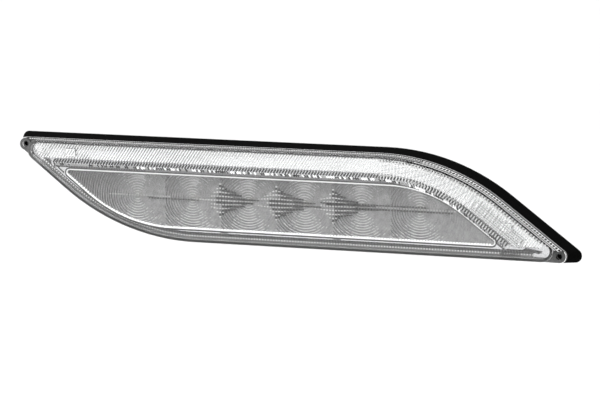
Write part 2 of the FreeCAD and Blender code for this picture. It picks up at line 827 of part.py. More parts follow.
doc.recompute()
sub_parts = [
    mounting_pad, housing, lens_seal, outer_lens, bezel_frame, guide_reflector, light_guide, optic_plate,
    reflector_tray, led_board, board_screws, vent_plug, *lamps, *guide_lamps, *terminals, *driver_parts,
]
for item in doc.Objects:
    if "Invalid" in item.State or "Error" in item.State:
        raise RuntimeError(f"{item.Name} failed: {item.State}")
for item in sub_parts:
    if item.Shape.isNull() or not item.Shape.isValid():
        raise RuntimeError(f"{item.Label} has no valid shape")
os.makedirs("parts", exist_ok=True)
for item in sub_parts:
    item.Shape.exportStep(f"parts/{item.Label}.step")
    box = item.Shape.BoundBox
    print(item.Label, len(item.Shape.Solids), round(item.Shape.Volume, 1), box)
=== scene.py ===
"""Looks of the leaf-shaped LED reversing light: lens, light guide, bright strip and Fresnel optic."""
import logging
import math
import random
from collections.abc import Iterable, Iterator
from dataclasses import dataclass
from enum import Enum

import bmesh
import bpy
from mathutils import Matrix, Vector


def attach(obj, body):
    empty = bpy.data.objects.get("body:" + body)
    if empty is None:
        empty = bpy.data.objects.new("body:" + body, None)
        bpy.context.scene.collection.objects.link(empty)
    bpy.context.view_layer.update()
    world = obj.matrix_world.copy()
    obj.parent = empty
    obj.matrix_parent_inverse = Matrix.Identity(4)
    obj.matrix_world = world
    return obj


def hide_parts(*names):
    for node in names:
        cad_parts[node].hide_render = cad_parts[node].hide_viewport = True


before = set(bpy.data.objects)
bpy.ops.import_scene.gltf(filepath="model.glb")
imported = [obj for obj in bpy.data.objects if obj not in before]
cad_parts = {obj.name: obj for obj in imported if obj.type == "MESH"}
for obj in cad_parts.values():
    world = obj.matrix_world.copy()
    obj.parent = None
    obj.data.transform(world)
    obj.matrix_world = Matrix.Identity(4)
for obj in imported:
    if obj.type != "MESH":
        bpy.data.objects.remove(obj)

Pair = tuple[float, float]
Triple = tuple[float, float, float]
Mesh = bmesh.types.BMesh

LOG = logging.getLogger("reversing_light")
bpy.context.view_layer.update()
MM = 0.001
BODY = "root"
WELD = 1e-6
CUT_WELD = 1e-7
SHARP = 1.0
ROUND_STEPS = 2
ROUND_PROFILE = 0.5
LEAST_STEPS = 2
GRAIN_DETAIL = 3.0
BUMP_DETAIL = 2.0
BUMP_DEPTH = 0.1 * MM
QUARTER = math.pi / 2
JOINT_RIGHT_BEND = 138.0
JOINT_LEFT_BEND = 152.0
RIGHT_SLOPE_AND_BEND = slice(1, 3)
RIGHT_SLOPE_TO_TOP = slice(1, 4)
LEFT_SLOPE_TO_BOTTOM = slice(5, 8)


class Slot(Enum):
    """Material slots of the record."""

    LENS = "clear_lens"
    OPTIC = "clear_optic"
    BRIGHT = "metallised"
    GUIDE = "clear_guide"


def set_inputs(node: bpy.types.Node, values: dict[str, float]) -> None:
    """Sets constants directly on a node's sockets.

    Args:
        node: the node.
        values: each socket's name and value.
    """
    for socket, value in values.items():
        node.inputs[socket].default_value = value


@dataclass(frozen=True)
class Finish:
    """A surface finish: two tones mottled by noise, gloss that varies with it, a fine bump, and where set a
    painted shade towards the top and a glow that is a painted highlight.
    """

    name: str
    tone: Triple
    second_tone: Triple
    roughness: Pair
    metallic: float = 0.0
    transmission: float = 0.0
    ior: float = 1.49
    grain_per_m: float = 400.0
    bump: float = 0.0
    bump_per_m: float = 2500.0
    specular: float = 0.5
    # painted_shade_from and shade: painted shade, darkening the tones towards the top down to the share
    # shade.
    painted_shade_from: float = 0.0
    shade: float = 1.0
    # painted_glow: emission on pieces that are no lamps, a painted highlight.
    painted_glow: float = 0.0

    def material(self) -> bpy.types.Material:
        """Builds the node material of this finish.

        Returns:
            The material, made once and shared by every piece that wears it.
        """
        known = bpy.data.materials.get(self.name)
        if known:
            return known
        material = bpy.data.materials.new(self.name)
        material.use_nodes = True
        nodes, links = material.node_tree.nodes, material.node_tree.links
        shader = nodes["Principled BSDF"]
        set_inputs(shader, {
            "Metallic": self.metallic, "Transmission Weight": self.transmission, "IOR": self.ior,
            "Specular IOR Level": self.specular, "Emission Strength": self.painted_glow,
        })
        place = nodes.new("ShaderNodeTexCoord")
        grain = nodes.new("ShaderNodeTexNoise")
        set_inputs(grain, {"Scale": self.grain_per_m, "Detail": GRAIN_DETAIL})
        links.new(place.outputs["Object"], grain.inputs["Vector"])
        tones = nodes.new("ShaderNodeValToRGB")
        tones.color_ramp.elements[0].color = (*self.tone, 1.0)
        tones.color_ramp.elements[1].color = (*self.second_tone, 1.0)
        links.new(grain.outputs["Fac"], tones.inputs["Fac"])
        # Painted shade: the tones darken towards the top.
        if self.shade < 1.0:
            links.new(self.shaded(nodes, links, place, tones), shader.inputs["Base Color"])
        else:
            links.new(tones.outputs["Color"], shader.inputs["Base Color"])
        gloss = nodes.new("ShaderNodeMapRange")
        set_inputs(gloss, {"To Min": self.roughness[0], "To Max": self.roughness[1]})
        links.new(grain.outputs["Fac"], gloss.inputs["Value"])
        links.new(gloss.outputs["Result"], shader.inputs["Roughness"])
        if self.bump:
            fine = nodes.new("ShaderNodeTexNoise")
            set_inputs(fine, {"Scale": self.bump_per_m, "Detail": BUMP_DETAIL})
            links.new(place.outputs["Object"], fine.inputs["Vector"])
            relief = nodes.new("ShaderNodeBump")
            set_inputs(relief, {"Strength": self.bump, "Distance": BUMP_DEPTH})
            links.new(fine.outputs["Fac"], relief.inputs["Height"])
            links.new(relief.outputs["Normal"], shader.inputs["Normal"])
        return material

    def shaded(self, nodes: bpy.types.Nodes, links: bpy.types.NodeLinks, place: bpy.types.Node,
               tones: bpy.types.Node) -> bpy.types.NodeSocket:
        """Darkens the tones towards the top: painted shade, standing in for the shadow that the bright strip
        casts on the optic's top.

        Args:
            nodes: the material's nodes.
            links: the material's links.
            place: the node that gives the place on the piece.
            tones: the node that gives the tones.

        Returns:
            The output that carries the darkened tones.
        """
        parts = nodes.new("ShaderNodeSeparateXYZ")
        links.new(place.outputs["Object"], parts.inputs["Vector"])
        fall = nodes.new("ShaderNodeMapRange")
        reach = self.painted_shade_from * MM
        set_inputs(fall, {"From Min": -reach, "From Max": reach, "To Min": 1.0, "To Max": self.shade})
        links.new(parts.outputs["Z"], fall.inputs["Value"])
        darker = nodes.new("ShaderNodeVectorMath")
        darker.operation = "MULTIPLY"
        links.new(tones.outputs["Color"], darker.inputs[0])
        links.new(fall.outputs["Result"], darker.inputs[1])
        return darker.outputs["Vector"]

    def put_on(self, piece: bpy.types.Object) -> None:
        """Makes a piece wear this finish alone; one that lets light through throws no shadow.

        Args:
            piece: the piece.
        """
        piece.data.materials.clear()
        piece.data.materials.append(self.material())
        piece.visible_shadow = self.transmission == 0.0


def grey(tone: float) -> Triple:
    """Makes a plain grey.

    Args:
        tone: its brightness, from black at 0 to white at 1.

    Returns:
        The same value for red, green and blue.
    """
    return tone, tone, tone


# Black plastic of the housing, and painted shade for the dark joint line and the dark rails and dots on the
# lens edge.
BLACK_GRAIN_AND_SHADE = Finish(
    "black_grained_plastic", grey(0.0), grey(0.005), (0.7, 0.9),
    grain_per_m=1100.0, bump=0.5, bump_per_m=1800.0, specular=0.005,
)
PALE_SEAL = Finish("pale_seal", grey(0.32), grey(0.44), (0.6, 0.8), grain_per_m=700.0)
FOAM = Finish("black_foam", grey(0.008), grey(0.03), (0.85, 0.95), bump=0.8, bump_per_m=1200.0)
LENS_ACRYLIC = Finish("lens_acrylic", (0.985, 0.99, 0.99), grey(1.0), (0.0, 0.02), transmission=1.0)
GUIDE_ACRYLIC = Finish("guide_acrylic", (0.98, 0.985, 0.985), grey(1.0), (0.0, 0.03), transmission=1.0)
# Painted shade: the optic darkens towards the top.
OPTIC_ACRYLIC = Finish(
    "optic_acrylic", grey(0.26), grey(0.62), (0.04, 0.1),
    transmission=0.25, painted_shade_from=16.0, shade=0.45,
)
# Painted highlight: the bright ring lands in a fan above and below each lamp, with painted shade towards the
# top.
RING_HIGHLIGHT = Finish(
    "ring_lands", grey(0.6), grey(1.0), (0.15, 0.3),
    transmission=0.15, painted_shade_from=16.0, shade=0.45,
)
FROSTED = Finish("frosted_edges", grey(0.9), grey(0.97), (0.3, 0.45), transmission=0.15)
# Painted highlight: glowing white for the bright rim lip, strip facets, ledge beads and lens joint line.
HIGHLIGHT_WHITE = Finish("rim_white", grey(0.96), grey(1.0), (0.25, 0.4), painted_glow=0.3)
# White of the guide's lamps, and a painted highlight on the optic rim, the strip's pale base and the white
# rails on the lens edge.
LAMP_WHITE_AND_HIGHLIGHT = Finish("lamp_white", grey(0.93), grey(0.97), (0.35, 0.5))
# Painted highlight: the bright flute beads of the optic.
FLUTE_HIGHLIGHT = Finish("bright_flutes", grey(0.4), grey(0.75), (0.2, 0.35))
# Painted shade: near black for the ring step walls, the gap round the optic, dark flute beads and rows, strip
# marks, border dots and guide dots.
DARK_SHADE = Finish("shaded_flutes", grey(0.03), grey(0.1), (0.3, 0.5), specular=0.2)
# Grey for the border land, and painted shade for the strip's land beside the optic.
BORDER_GREY = Finish("border_grey", grey(0.13), grey(0.25), (0.25, 0.4), grain_per_m=900.0)
# Painted highlight: glowing pale for the light guide's pale dots and cross lines.
PALE_HIGHLIGHT = Finish("pale_edges", grey(0.8), grey(0.92), (0.25, 0.4), painted_glow=0.12)
# Grey for lines and flutes, and also the painted highlight of the optic's pale row and the painted reflection
# of the grey strip facets.
GREY_EDGES = Finish("grey_edges", grey(0.3), grey(0.45), (0.25, 0.4))
BRIGHT_METAL = Finish("bright_metal", (0.62, 0.62, 0.63), (0.85, 0.85, 0.86), (0.06, 0.16), metallic=1.0)
# Painted shade: dark metal for the strip's flutes, a painted shadow of the guide's ribs, and for the dark
# facets.
SHADED_METAL = Finish("shaded_metal", grey(0.02), grey(0.09), (0.15, 0.3), metallic=1.0)
WHITE_REFLECTOR = Finish("white_reflector", grey(0.93), grey(0.97), (0.35, 0.5))
SATIN_TRAY = Finish("satin_tray", (0.42, 0.42, 0.425), (0.6, 0.6, 0.605), (0.3, 0.5), grain_per_m=150.0)
BOARD_MASK = Finish("white_solder_mask", (0.68, 0.69, 0.68), (0.8, 0.8, 0.79), (0.35, 0.5))
PHOSPHOR = Finish("lamp_phosphor", (0.88, 0.8, 0.5), (0.95, 0.9, 0.66), (0.2, 0.35))
BLACK_BODY = Finish("component_black", grey(0.012), grey(0.035), (0.4, 0.6))
CAN = Finish("drawn_can", (0.6, 0.6, 0.62), (0.78, 0.78, 0.8), (0.2, 0.35), metallic=1.0)
CONTACT = Finish("tinned_contact", (0.6, 0.56, 0.46), (0.75, 0.72, 0.64), (0.2, 0.35), metallic=1.0)
ZINC = Finish("zinc_screw", (0.5, 0.5, 0.52), (0.68, 0.68, 0.7), (0.25, 0.4), metallic=1.0)
VENT = Finish("breather_disc", (0.2, 0.2, 0.21), (0.36, 0.36, 0.37), (0.5, 0.7), bump=0.4)
STUDIO_FLOOR = Finish("studio_floor", grey(0.93), grey(0.95), (0.8, 0.9), grain_per_m=2.0)

NODE_FINISHES = {
    "mounting_pad": FOAM, "housing": BLACK_GRAIN_AND_SHADE, "lens_seal": PALE_SEAL,
    "outer_lens": LENS_ACRYLIC, "light_guide": GUIDE_ACRYLIC,
    "optic_plate": OPTIC_ACRYLIC, "bezel_frame": BRIGHT_METAL, "guide_reflector": WHITE_REFLECTOR,
    "reflector_tray": SATIN_TRAY, "led_board": BOARD_MASK, "board_screws": ZINC, "vent_plug": VENT,
}
FAMILY_FINISHES = {
    "led_": PHOSPHOR, "guide_led_": LAMP_WHITE_AND_HIGHLIGHT, "terminal_": CONTACT, "capacitor_": CAN,
    "driver_": BLACK_BODY, "storage_": BLACK_BODY, "input_": BLACK_BODY,
}


@dataclass(frozen=True)
class Stretch:
    """A straight run or an arc of an outline, in millimetres, anticlockwise as seen from the front."""

    start: Pair
    end: Pair
    centre: Pair | None = None
    radius: float = 0.0
    start_angle: float = 0.0
    end_angle: float = 0.0

    @property
    def length(self) -> float:
        """Measures the stretch.

        Returns:
            Its length, in millimetres.
        """
        if self.centre:
            return self.radius * (self.end_angle - self.start_angle)
        return math.dist(self.start, self.end)

    def at(self, distance: float) -> Triple:
        """Finds a point of the stretch.

        Args:
            distance: how far along the stretch the point lies.

        Returns:
            The point's x and z, and the angle of the outward normal.
        """
        if self.centre:
            angle = self.start_angle + distance / self.radius
            x = self.centre[0] + self.radius * math.cos(angle)
            return x, self.centre[1] + self.radius * math.sin(angle), angle
        share = distance / self.length
        x = self.start[0] + share * (self.end[0] - self.start[0])
        z = self.start[1] + share * (self.end[1] - self.start[1])
        run = math.atan2(self.end[1] - self.start[1], self.end[0] - self.start[0])
        return x, z, run - QUARTER

    def divided(self, arc_step: float) -> list[Triple]:
        """Divides an arc evenly.

        Args:
            arc_step: largest angle of one step, in radians.

        Returns:
            x, z and outward normal angle of each place, both ends among them.
        """
        count = max(LEAST_STEPS, math.ceil((self.end_angle - self.start_angle) / arc_step))
        return [self.at(self.length * step / count) for step in range(count + 1)]


@dataclass(frozen=True)
class Leaf:
    """Leaf outline, in millimetres, set in from the lens joint by a distance of its own on each side."""

    top: float
    right: float
    bottom: float
    left: float
    left_tip: float
    right_tip: float
    right_bend: float
    left_bend: float
    hole_half_x: float = 184.0
    hole_half_z: float = 28.0
    base_tip: float = 4.5
    right_slope: float = math.radians(36.6)
    left_slope: float = math.radians(37.8)

    @classmethod
    def within(cls, inset: float, tip: float) -> "Leaf":
        """Sets an outline in evenly from the lens joint.

        Args:
            inset: how far inside the joint it runs.
            tip: radius of its two tips.

        Returns:
            The outline.
        """
        return cls(*(inset,) * 4, tip, tip, JOINT_RIGHT_BEND - inset, JOINT_LEFT_BEND - inset)

    def tip_centre(self, slope: float, flat: float, slanted: float) -> Pair:
        """Finds the centre of the left tip, or of the right one turned half round.

        Args:
            slope: angle of the slanted side.
            flat: how far in from the level side.
            slanted: how far in from the slanted side.

        Returns:
            x and z of the centre.
        """
        x = (slanted + math.cos(slope) * flat) / math.sin(slope) - self.hole_half_x
        return x, self.hole_half_z - flat

    def stretches(self) -> list[Stretch]:
        """Works out the outline.

        Returns:
            The right tip, right slope, right bend, top, left tip, left slope, left bend and bottom.
        """
        grow = self.left_tip - self.base_tip
        left = self.tip_centre(self.left_slope, self.top + grow, self.left + grow)
        grow = self.right_tip - self.base_tip
        turned = self.tip_centre(self.right_slope, self.bottom + grow, self.right + grow)
        right = (-turned[0], -turned[1])
        rise = left[1] + self.left_tip - self.right_bend
        drop = math.cos(self.right_slope) * (rise - right[1])
        bend_r = (right[0] + (self.right_tip - self.right_bend - drop) / math.sin(self.right_slope), rise)
        fall = right[1] - self.right_tip + self.left_bend
        climb = math.cos(self.left_slope) * (left[1] - fall)
        bend_l = (left[0] - (self.left_tip - self.left_bend - climb) / math.sin(self.left_slope), fall)
        right_normal = QUARTER - self.right_slope
        left_normal = 3 * QUARTER - self.left_slope
        arcs = [
            self.arc(right, self.right_tip, -QUARTER, right_normal),
            self.arc(bend_r, self.right_bend, right_normal, QUARTER),
            self.arc(left, self.left_tip, QUARTER, left_normal),
            self.arc(bend_l, self.left_bend, left_normal, 3 * QUARTER),
        ]
        outline = []
        for arc, following in zip(arcs, arcs[1:] + arcs[:1]):
            outline += [arc, Stretch(arc.end, following.start)]
        return outline

    @staticmethod
    def arc(centre: Pair, radius: float, start: float, end: float) -> Stretch:
        """Draws an arc about a centre between two angles.

        Args:
            centre: its centre.
            radius: its radius.
            start: angle where it starts.
            end: angle where it ends.

        Returns:
            The arc.
        """
        ends = [
            (centre[0] + radius * math.cos(angle), centre[1] + radius * math.sin(angle))
            for angle in (start, end)
        ]
        return Stretch(*ends, centre, radius, start, end)

    def tangents(self, arc_step: float) -> Iterator[Triple]:
        """Walks the outline in straight tangents.

        Args:
            arc_step: largest angle between two tangents on an arc, in radians.

        Yields:
            x, z and outward normal angle, once for each straight side and several times for each arc.
        """
        for stretch in self.stretches():
            if stretch.centre is None:
                yield stretch.at(stretch.length / 2)
            else:
                yield from stretch.divided(arc_step)[1:-1]

    def corners(self, arc_step: float) -> list[Pair]:
        """Finds the corner points of the outline with its arcs divided.

        Args:
            arc_step: largest angle between two corners on an arc, in radians.

        Returns:
            x and z of each corner, anticlockwise.
        """
        arcs = [stretch for stretch in self.stretches() if stretch.centre]
        return [place[:2] for arc in arcs for place in arc.divided(arc_step)]

    def walk(self, part: slice, pitch: float) -> Iterator[Triple]:
        """Walks joined stretches of the outline at an even pitch.

        Args:
            part: which stretches.
            pitch: distance between two places, in millimetres.

        Yields:
            x, z and outward normal angle of each place.
        """
        gone = 0.0
        for stretch in self.stretches()[part]:
            while gone <= stretch.length:
                yield stretch.at(gone)
                gone += pitch
            gone -= stretch.length


def place_point(x: float, depth: float, z: float) -> Vector:
    """Turns millimetres into a point of the part.

    Args:
        x: place along the lamp.
        depth: how far in front of the mounting plane.
        z: height.

    Returns:
        The point, in metres.
    """
    return Vector((x, -depth, z)) * MM


def mesh_object(name: str, mesh: Mesh) -> bpy.types.Object:
    """Puts a finished mesh in the scene.

    Args:
        name: the new object's name.
        mesh: its geometry, in place; it is freed here.

    Returns:
        The object.
    """
    data = bpy.data.meshes.new(name)
    mesh.to_mesh(data)
    mesh.free()
    item = bpy.data.objects.new(name, data)
    bpy.context.scene.collection.objects.link(item)
    return item


def add_piece(name: str, mesh: Mesh, finish: Finish, slot: Slot) -> bpy.types.Object:
    """Makes a finished mesh a piece of the lamp.

    Args:
        name: the piece's name.
        mesh: its geometry, in place; it is freed here.
        finish: what it wears.
        slot: the record's material slot; not used.

    Returns:
        The new object, riding on the lamp.
    """
    piece = mesh_object(name, mesh)
    finish.put_on(piece)
    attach(piece, BODY)
    LOG.info("%s: %d faces", name, len(piece.data.polygons))
    return piece


def add_bar(mesh: Mesh, at: Pair, depths: Pair, size: Pair, angle: float) -> None:
    """Adds a straight bar to a mesh.

    Args:
        mesh: where the bar goes.
        at: x and z of its middle, in millimetres.
        depths: where it starts and ends towards the front.
        size: its length and its width.
        angle: direction of its length, anticlockwise from +X as seen from the front.
    """
    turn = Matrix.Rotation(-angle, 4, "Y")
    scale = Matrix.Diagonal((size[0] * MM, (depths[1] - depths[0]) * MM, size[1] * MM, 1))
    place = Matrix.Translation(place_point(at[0], sum(depths) / 2, at[1]))
    bmesh.ops.create_cube(mesh, size=1.0, matrix=place @ turn @ scale)


def add_row(mesh: Mesh, places: Iterable[Triple], depths: Pair, size: Pair, turn: float = QUARTER) -> Mesh:
    """Adds a row of equal bars to a mesh.

    Args:
        mesh: where the bars go.
        places: x, z and outward normal angle of each bar.
        depths: where they start and end towards the front.
        size: length and width of each bar.
        turn: angle from the normal to the length of a bar.

    Returns:
        The same mesh.
    """
    for x, z, normal in places:
        add_bar(mesh, (x, z), depths, size, normal + turn)
    return mesh


def leaf_band(outer: Leaf, width: float, depths: Pair, arc_step: float) -> Mesh:
    """Makes a flat band that follows a leaf outline on its inside.

    Args:
        outer: outer edge of the band.
        width: its width, in millimetres.
        depths: where it starts and ends towards the front.
        arc_step: largest angle between two corners on an arc, in radians.

    Returns:
        A closed mesh.
    """
    mesh = bmesh.new()
    mesh.faces.new([mesh.verts.new(place_point(x, depths[0], z)) for x, z in outer.corners(arc_step)])
    bmesh.ops.remove_doubles(mesh, verts=mesh.verts, dist=WELD)
    face = mesh.faces[:][0]
    band = bmesh.ops.inset_region(
        mesh, faces=[face], thickness=width * MM, use_boundary=True, use_even_offset=True,
    )
    bmesh.ops.delete(mesh, geom=[face], context="FACES_ONLY")
    grown = bmesh.ops.extrude_face_region(mesh, geom=band["faces"])
    moved = [item for item in grown["geom"] if isinstance(item, bmesh.types.BMVert)]
    bmesh.ops.translate(mesh, verts=moved, vec=(0, (depths[0] - depths[1]) * MM, 0))
    bmesh.ops.recalc_face_normals(mesh, faces=mesh.faces)
    return mesh


def round_front(mesh: Mesh, front: float, radius: float) -> None:
    """Rounds the front edges of a band.

    Args:
        mesh: the band.
        front: how far its front lies before the mounting plane, in millimetres.
        radius: how far the rounding goes.
    """
    level = -front * MM
    rims = [
        edge for edge in mesh.edges
        if all(abs(corner.co.y - level) < WELD for corner in edge.verts) and edge.calc_face_angle(0.0) > SHARP
    ]
    bmesh.ops.bevel(
        mesh, geom=rims, offset=radius * MM, offset_type="OFFSET", segments=ROUND_STEPS,
        profile=ROUND_PROFILE, affect="EDGES", material=-1,
    )


@dataclass
class FresnelOptic:
    """Clear optic over the lamp row: one set of ring steps for each lamp, inside a raised rim."""

    led_count: int = 6
    led_pitch: float = 39.0
    led_row_x: float = -5.0
    led_row_z: float = -3.0
    back: float = 19.0
    valley: float = 21.0
    front: float = 22.2
    insets: tuple[float, ...] = (19.6, 22.2, 9.2, 8.2)
    bends: Pair = (85.0, 98.0)
    tip: float = 2.5
    rim_width: float = 0.8
    rim_round: float = 0.3
    lip: Pair = (1.3, 0.9)
    lip_pitch: float = 2.0
    lip_inset: float = 0.9
    ring_pitch: float = 1.7
    ring_land: float = 0.4
    first_step: float = 0.3
    step_growth: float = 0.03
    largest_step: float = 0.9
    spin_steps: int = 96
    seam: float = 0.04
    highlight_spread: float = 1.2
    highlight_fade: float = 0.9
    wall_lean: float = 0.1
    level: float = 0.999
    arc_step: float = math.radians(3.0)
    gap_out: float = 0.9
    gap_width: float = 0.7
    gap_depths: Pair = (21.8, 21.95)
    flute_cells: tuple[float, ...] = (-1.0, 0.0, 1.0)
    flute_steps: int = 8
    flute_pitch: float = 1.35
    flute_length: float = 40.0
    flute_widths: Pair = (0.9, 1.5)
    flute_taper: float = 1.3
    flute_draw: float = 0.2
    bead_pitch: float = 2.0
    bead_lengths: Pair = (1.1, 1.5)
    bright_shares: Pair = (0.6, 0.8)
    dark_shares: Pair = (0.0, 1.5)
    share_spread: float = 0.3
    bead_front: float = 22.05
    pale_rows: tuple[Pair, ...] = ((-122.0, -78.0), (26.0, 118.0))
    grey_rows: tuple[Pair, ...] = ((-94.0, -58.0), (48.0, 116.0))
    upper_row: Pair = (26.0, 98.0)
    row_rise: float = 0.5
    upper_rise: float = 1.5
    row_width: float = 0.9
    seed: int = 11

    def leaf(self, inset: float) -> Leaf:
        """Sets the optic's outline in all round.

        Args:
            inset: how far inside the optic's edge it runs.

        Returns:
            The outline.
        """
        tips = (self.tip - inset,) * 2
        return Leaf(*(side + inset for side in self.insets), *tips, *(bend - inset for bend in self.bends))

    def ring_profile(self, mesh: Mesh, x: float, z: float, reach: float) -> list:
        """Draws half the section of one lens: ring steps in front and a flat back.

        Args:
            mesh: where the profile goes.
            x: the lamp's place along the row.
            z: the lamp's height.
            reach: radius that the rings have to cover.

        Returns:
            The profile's vertices and edges.
        """
        section = []
        for ring in range(math.ceil(reach / self.ring_pitch)):
            radius = ring * self.ring_pitch
            step = min(self.first_step + self.step_growth * radius, self.largest_step)
            crest = self.valley + step
            section += [(radius, crest), (radius + self.ring_land, crest)]
            section.append((radius + self.ring_pitch, self.valley))
        outer = section[-1][0]
        section = [(0.0, self.back), *section, (outer, self.back)]
        corners = [mesh.verts.new(place_point(x + radius, depth, z)) for radius, depth in section]
        edges = [mesh.edges.new(pair) for pair in zip(corners, corners[1:])]
        return corners + edges

    def lens_cell(self, x: float, z: float, low: float, high: float) -> Mesh:
        """Turns one lens and trims it to its stretch of the optic.

        Args:
            x: the lamp's place along the row.
            z: the lamp's height.
            low: left end of the stretch.
            high: right end of the stretch.

        Returns:
            A closed mesh.
        """
        inner = self.leaf(self.rim_width)
        heights = [pz for _, pz in inner.corners(self.arc_step)]
        reach = math.hypot(max(x - low, high - x), max(z - min(heights), max(heights) - z))
        mesh = bmesh.new()
        profile = self.ring_profile(mesh, x, z, reach + self.ring_pitch)
        bmesh.ops.spin(
            mesh, geom=profile, cent=place_point(x, 0, z), axis=(0, 1, 0), angle=2 * math.pi,
            steps=self.spin_steps, use_merge=True, use_duplicate=False,
        )
        bmesh.ops.remove_doubles(mesh, verts=mesh.verts, dist=WELD)
        bmesh.ops.recalc_face_normals(mesh, faces=mesh.faces)
        cuts = [(low + self.seam, z, math.pi), (high - self.seam, z, 0.0), *inner.tangents(self.arc_step)]
        for cut_x, cut_z, normal in cuts:
            self.trim(mesh, place_point(cut_x, 0, cut_z), Vector((math.cos(normal), 0, math.sin(normal))))
        return mesh

    @staticmethod
    def trim(mesh: Mesh, point: Vector, normal: Vector) -> None:
        """Cuts a mesh by a plane, drops what lies beyond it and closes the cut.

        Args:
            mesh: what is cut.
            point: a point of the plane.
            normal: direction of the side that is dropped.
        """
        everything = [*mesh.verts, *mesh.edges, *mesh.faces]
        cut = bmesh.ops.bisect_plane(
            mesh, geom=everything, dist=CUT_WELD, plane_co=point, plane_no=normal, clear_outer=True,
        )
        rim = [item for item in cut["geom_cut"] if isinstance(item, bmesh.types.BMEdge)]
        if rim:
            bmesh.ops.holes_fill(mesh, edges=rim, sides=0)

    def highlight_share(self, x: float, z: float) -> float:
        """Draws how far aside the painted highlight reaches at a place, the same whatever order the faces
        come in.

        Args:
            x: the place along the lamp.
            z: its height.

        Returns:
            The reach, as a share of the height above or below the lamps.
        """
        return self.highlight_spread - self.highlight_fade * random.Random(f"{self.seed} {x:.1f} {z:.1f}").random()

    def paint_ring_highlights(self, optic: bpy.types.Object) -> None:
        """Gives the flat lands in a fan above and below each lamp a painted highlight, and the step walls
        painted shade.

        Args:
            optic: the piece with the rings.
        """
        optic.data.materials.append(RING_HIGHLIGHT.material())
        optic.data.materials.append(DARK_SHADE.material())
        first = self.led_row_x - (self.led_count - 1) / 2 * self.led_pitch
        for face in optic.data.polygons:
            x, z = face.center.x / MM, face.center.z / MM
            place = min(max(round((x - first) / self.led_pitch), 0), self.led_count - 1)
            aside, above = abs(x - first - place * self.led_pitch), abs(z - self.led_row_z)
            land = face.normal.y < -self.level and face.center.y < -(self.valley + self.first_step / 2) * MM
            # Painted highlight on the lands in the fan; painted shade on the step walls.
            if land and aside < self.highlight_share(x, z) * above:
                face.material_index = 1
            elif abs(face.normal.y) < self.wall_lean and face.center.y < -self.valley * MM:
                face.material_index = 2

    def rim(self) -> None:
        """Builds the raised rim around the optic, white as a painted highlight, its bright lip, also a
        painted highlight, and a dark band of painted shadow in the gap outside it.
        """
        depths = (self.back, self.front)
        band = leaf_band(self.leaf(0.0), self.rim_width, depths, self.arc_step)
        round_front(band, self.front, self.rim_round)
        add_piece("optic_rim", band, LAMP_WHITE_AND_HIGHLIGHT, Slot.OPTIC)
        places = self.leaf(self.lip_inset).walk(LEFT_SLOPE_TO_BOTTOM, self.lip_pitch)
        lip = add_row(bmesh.new(), places, (self.valley, self.front), self.lip)
        add_piece("rim_lip", lip, HIGHLIGHT_WHITE, Slot.OPTIC)
        gap = leaf_band(self.leaf(-self.gap_out), self.gap_width, self.gap_depths, self.arc_step)
        add_piece("optic_gap", gap, DARK_SHADE, Slot.BRIGHT)

    def fan(self, meshes: tuple[Mesh, Mesh], middle: float, draw: random.Random) -> None:
        """Adds the flutes about one cell's edge, as rows of beads that draw together towards the lamps; the
        bright beads are painted highlights and the dark ones painted shade.

        Args:
            meshes: where the bright and the dark beads go.
            middle: the edge's place along the row.
            draw: source of the small differences between flutes.
        """
        for step in range(-self.flute_steps, self.flute_steps + 1):
            whole = self.flute_length / 2 * (1 - abs(step) / (self.flute_steps + 1)) ** self.flute_taper
            shares = self.dark_shares if step % 2 else self.bright_shares
            spread = self.share_spread
            left, right = (
                round(whole * (share + draw.uniform(-spread, spread)) / self.bead_pitch) for share in shares
            )
            for bead in range(-left, right + 1):
                x = middle + bead * self.bead_pitch
                reach = min(abs(x - middle) / (whole * max(shares)), 1.0)
                z = self.led_row_z + step * self.flute_pitch * (1 - self.flute_draw * reach * reach)
                size = (self.bead_lengths[step % 2], self.flute_widths[step % 2] * (1 - reach * reach / 2))
                add_bar(meshes[step % 2], (x, z), (self.valley, self.bead_front), size, 0.0)

    def row(self, mesh: Mesh, ends: Pair, rise: float) -> None:
        """Adds one straight row of beads along the lamps.

        Args:
            mesh: where the beads go.
            ends: where the row starts and ends.
            rise: how far above the lamps it runs.
        """
        for bead in range(int((ends[1] - ends[0]) / self.bead_pitch)):
            at = (ends[0] + bead * self.bead_pitch, self.led_row_z + rise)
            add_bar(mesh, at, (self.valley, self.bead_front), (self.bead_lengths[0], self.row_width), 0.0)

    def streaks(self) -> None:
        """Builds the flutes about the middle cells' edges and the rows along the outer lamps: the bright
        beads and the pale row are painted highlights, the dark beads and the grey row painted shade.
        """
        bright, dark, pale_row, grey_row = (bmesh.new() for _ in range(4))
        draw = random.Random(self.seed)
        for edge in self.flute_cells:
            self.fan((bright, dark), self.led_row_x + edge * self.led_pitch, draw)
        for ends in self.pale_rows:
            self.row(pale_row, ends, self.row_rise * self.flute_pitch)
        for ends in self.grey_rows:
            self.row(grey_row, ends, -self.row_rise * self.flute_pitch)
        self.row(grey_row, self.upper_row, self.upper_rise * self.flute_pitch)
        # Painted highlight in the bright beads and the pale row, painted shade in the dark beads and the grey
        # row.
        add_piece("bright_flutes", bright, FLUTE_HIGHLIGHT, Slot.OPTIC)
        add_piece("dark_flutes", dark, DARK_SHADE, Slot.OPTIC)
        add_piece("pale_row", pale_row, GREY_EDGES, Slot.OPTIC)
        add_piece("grey_row", grey_row, DARK_SHADE, Slot.OPTIC)

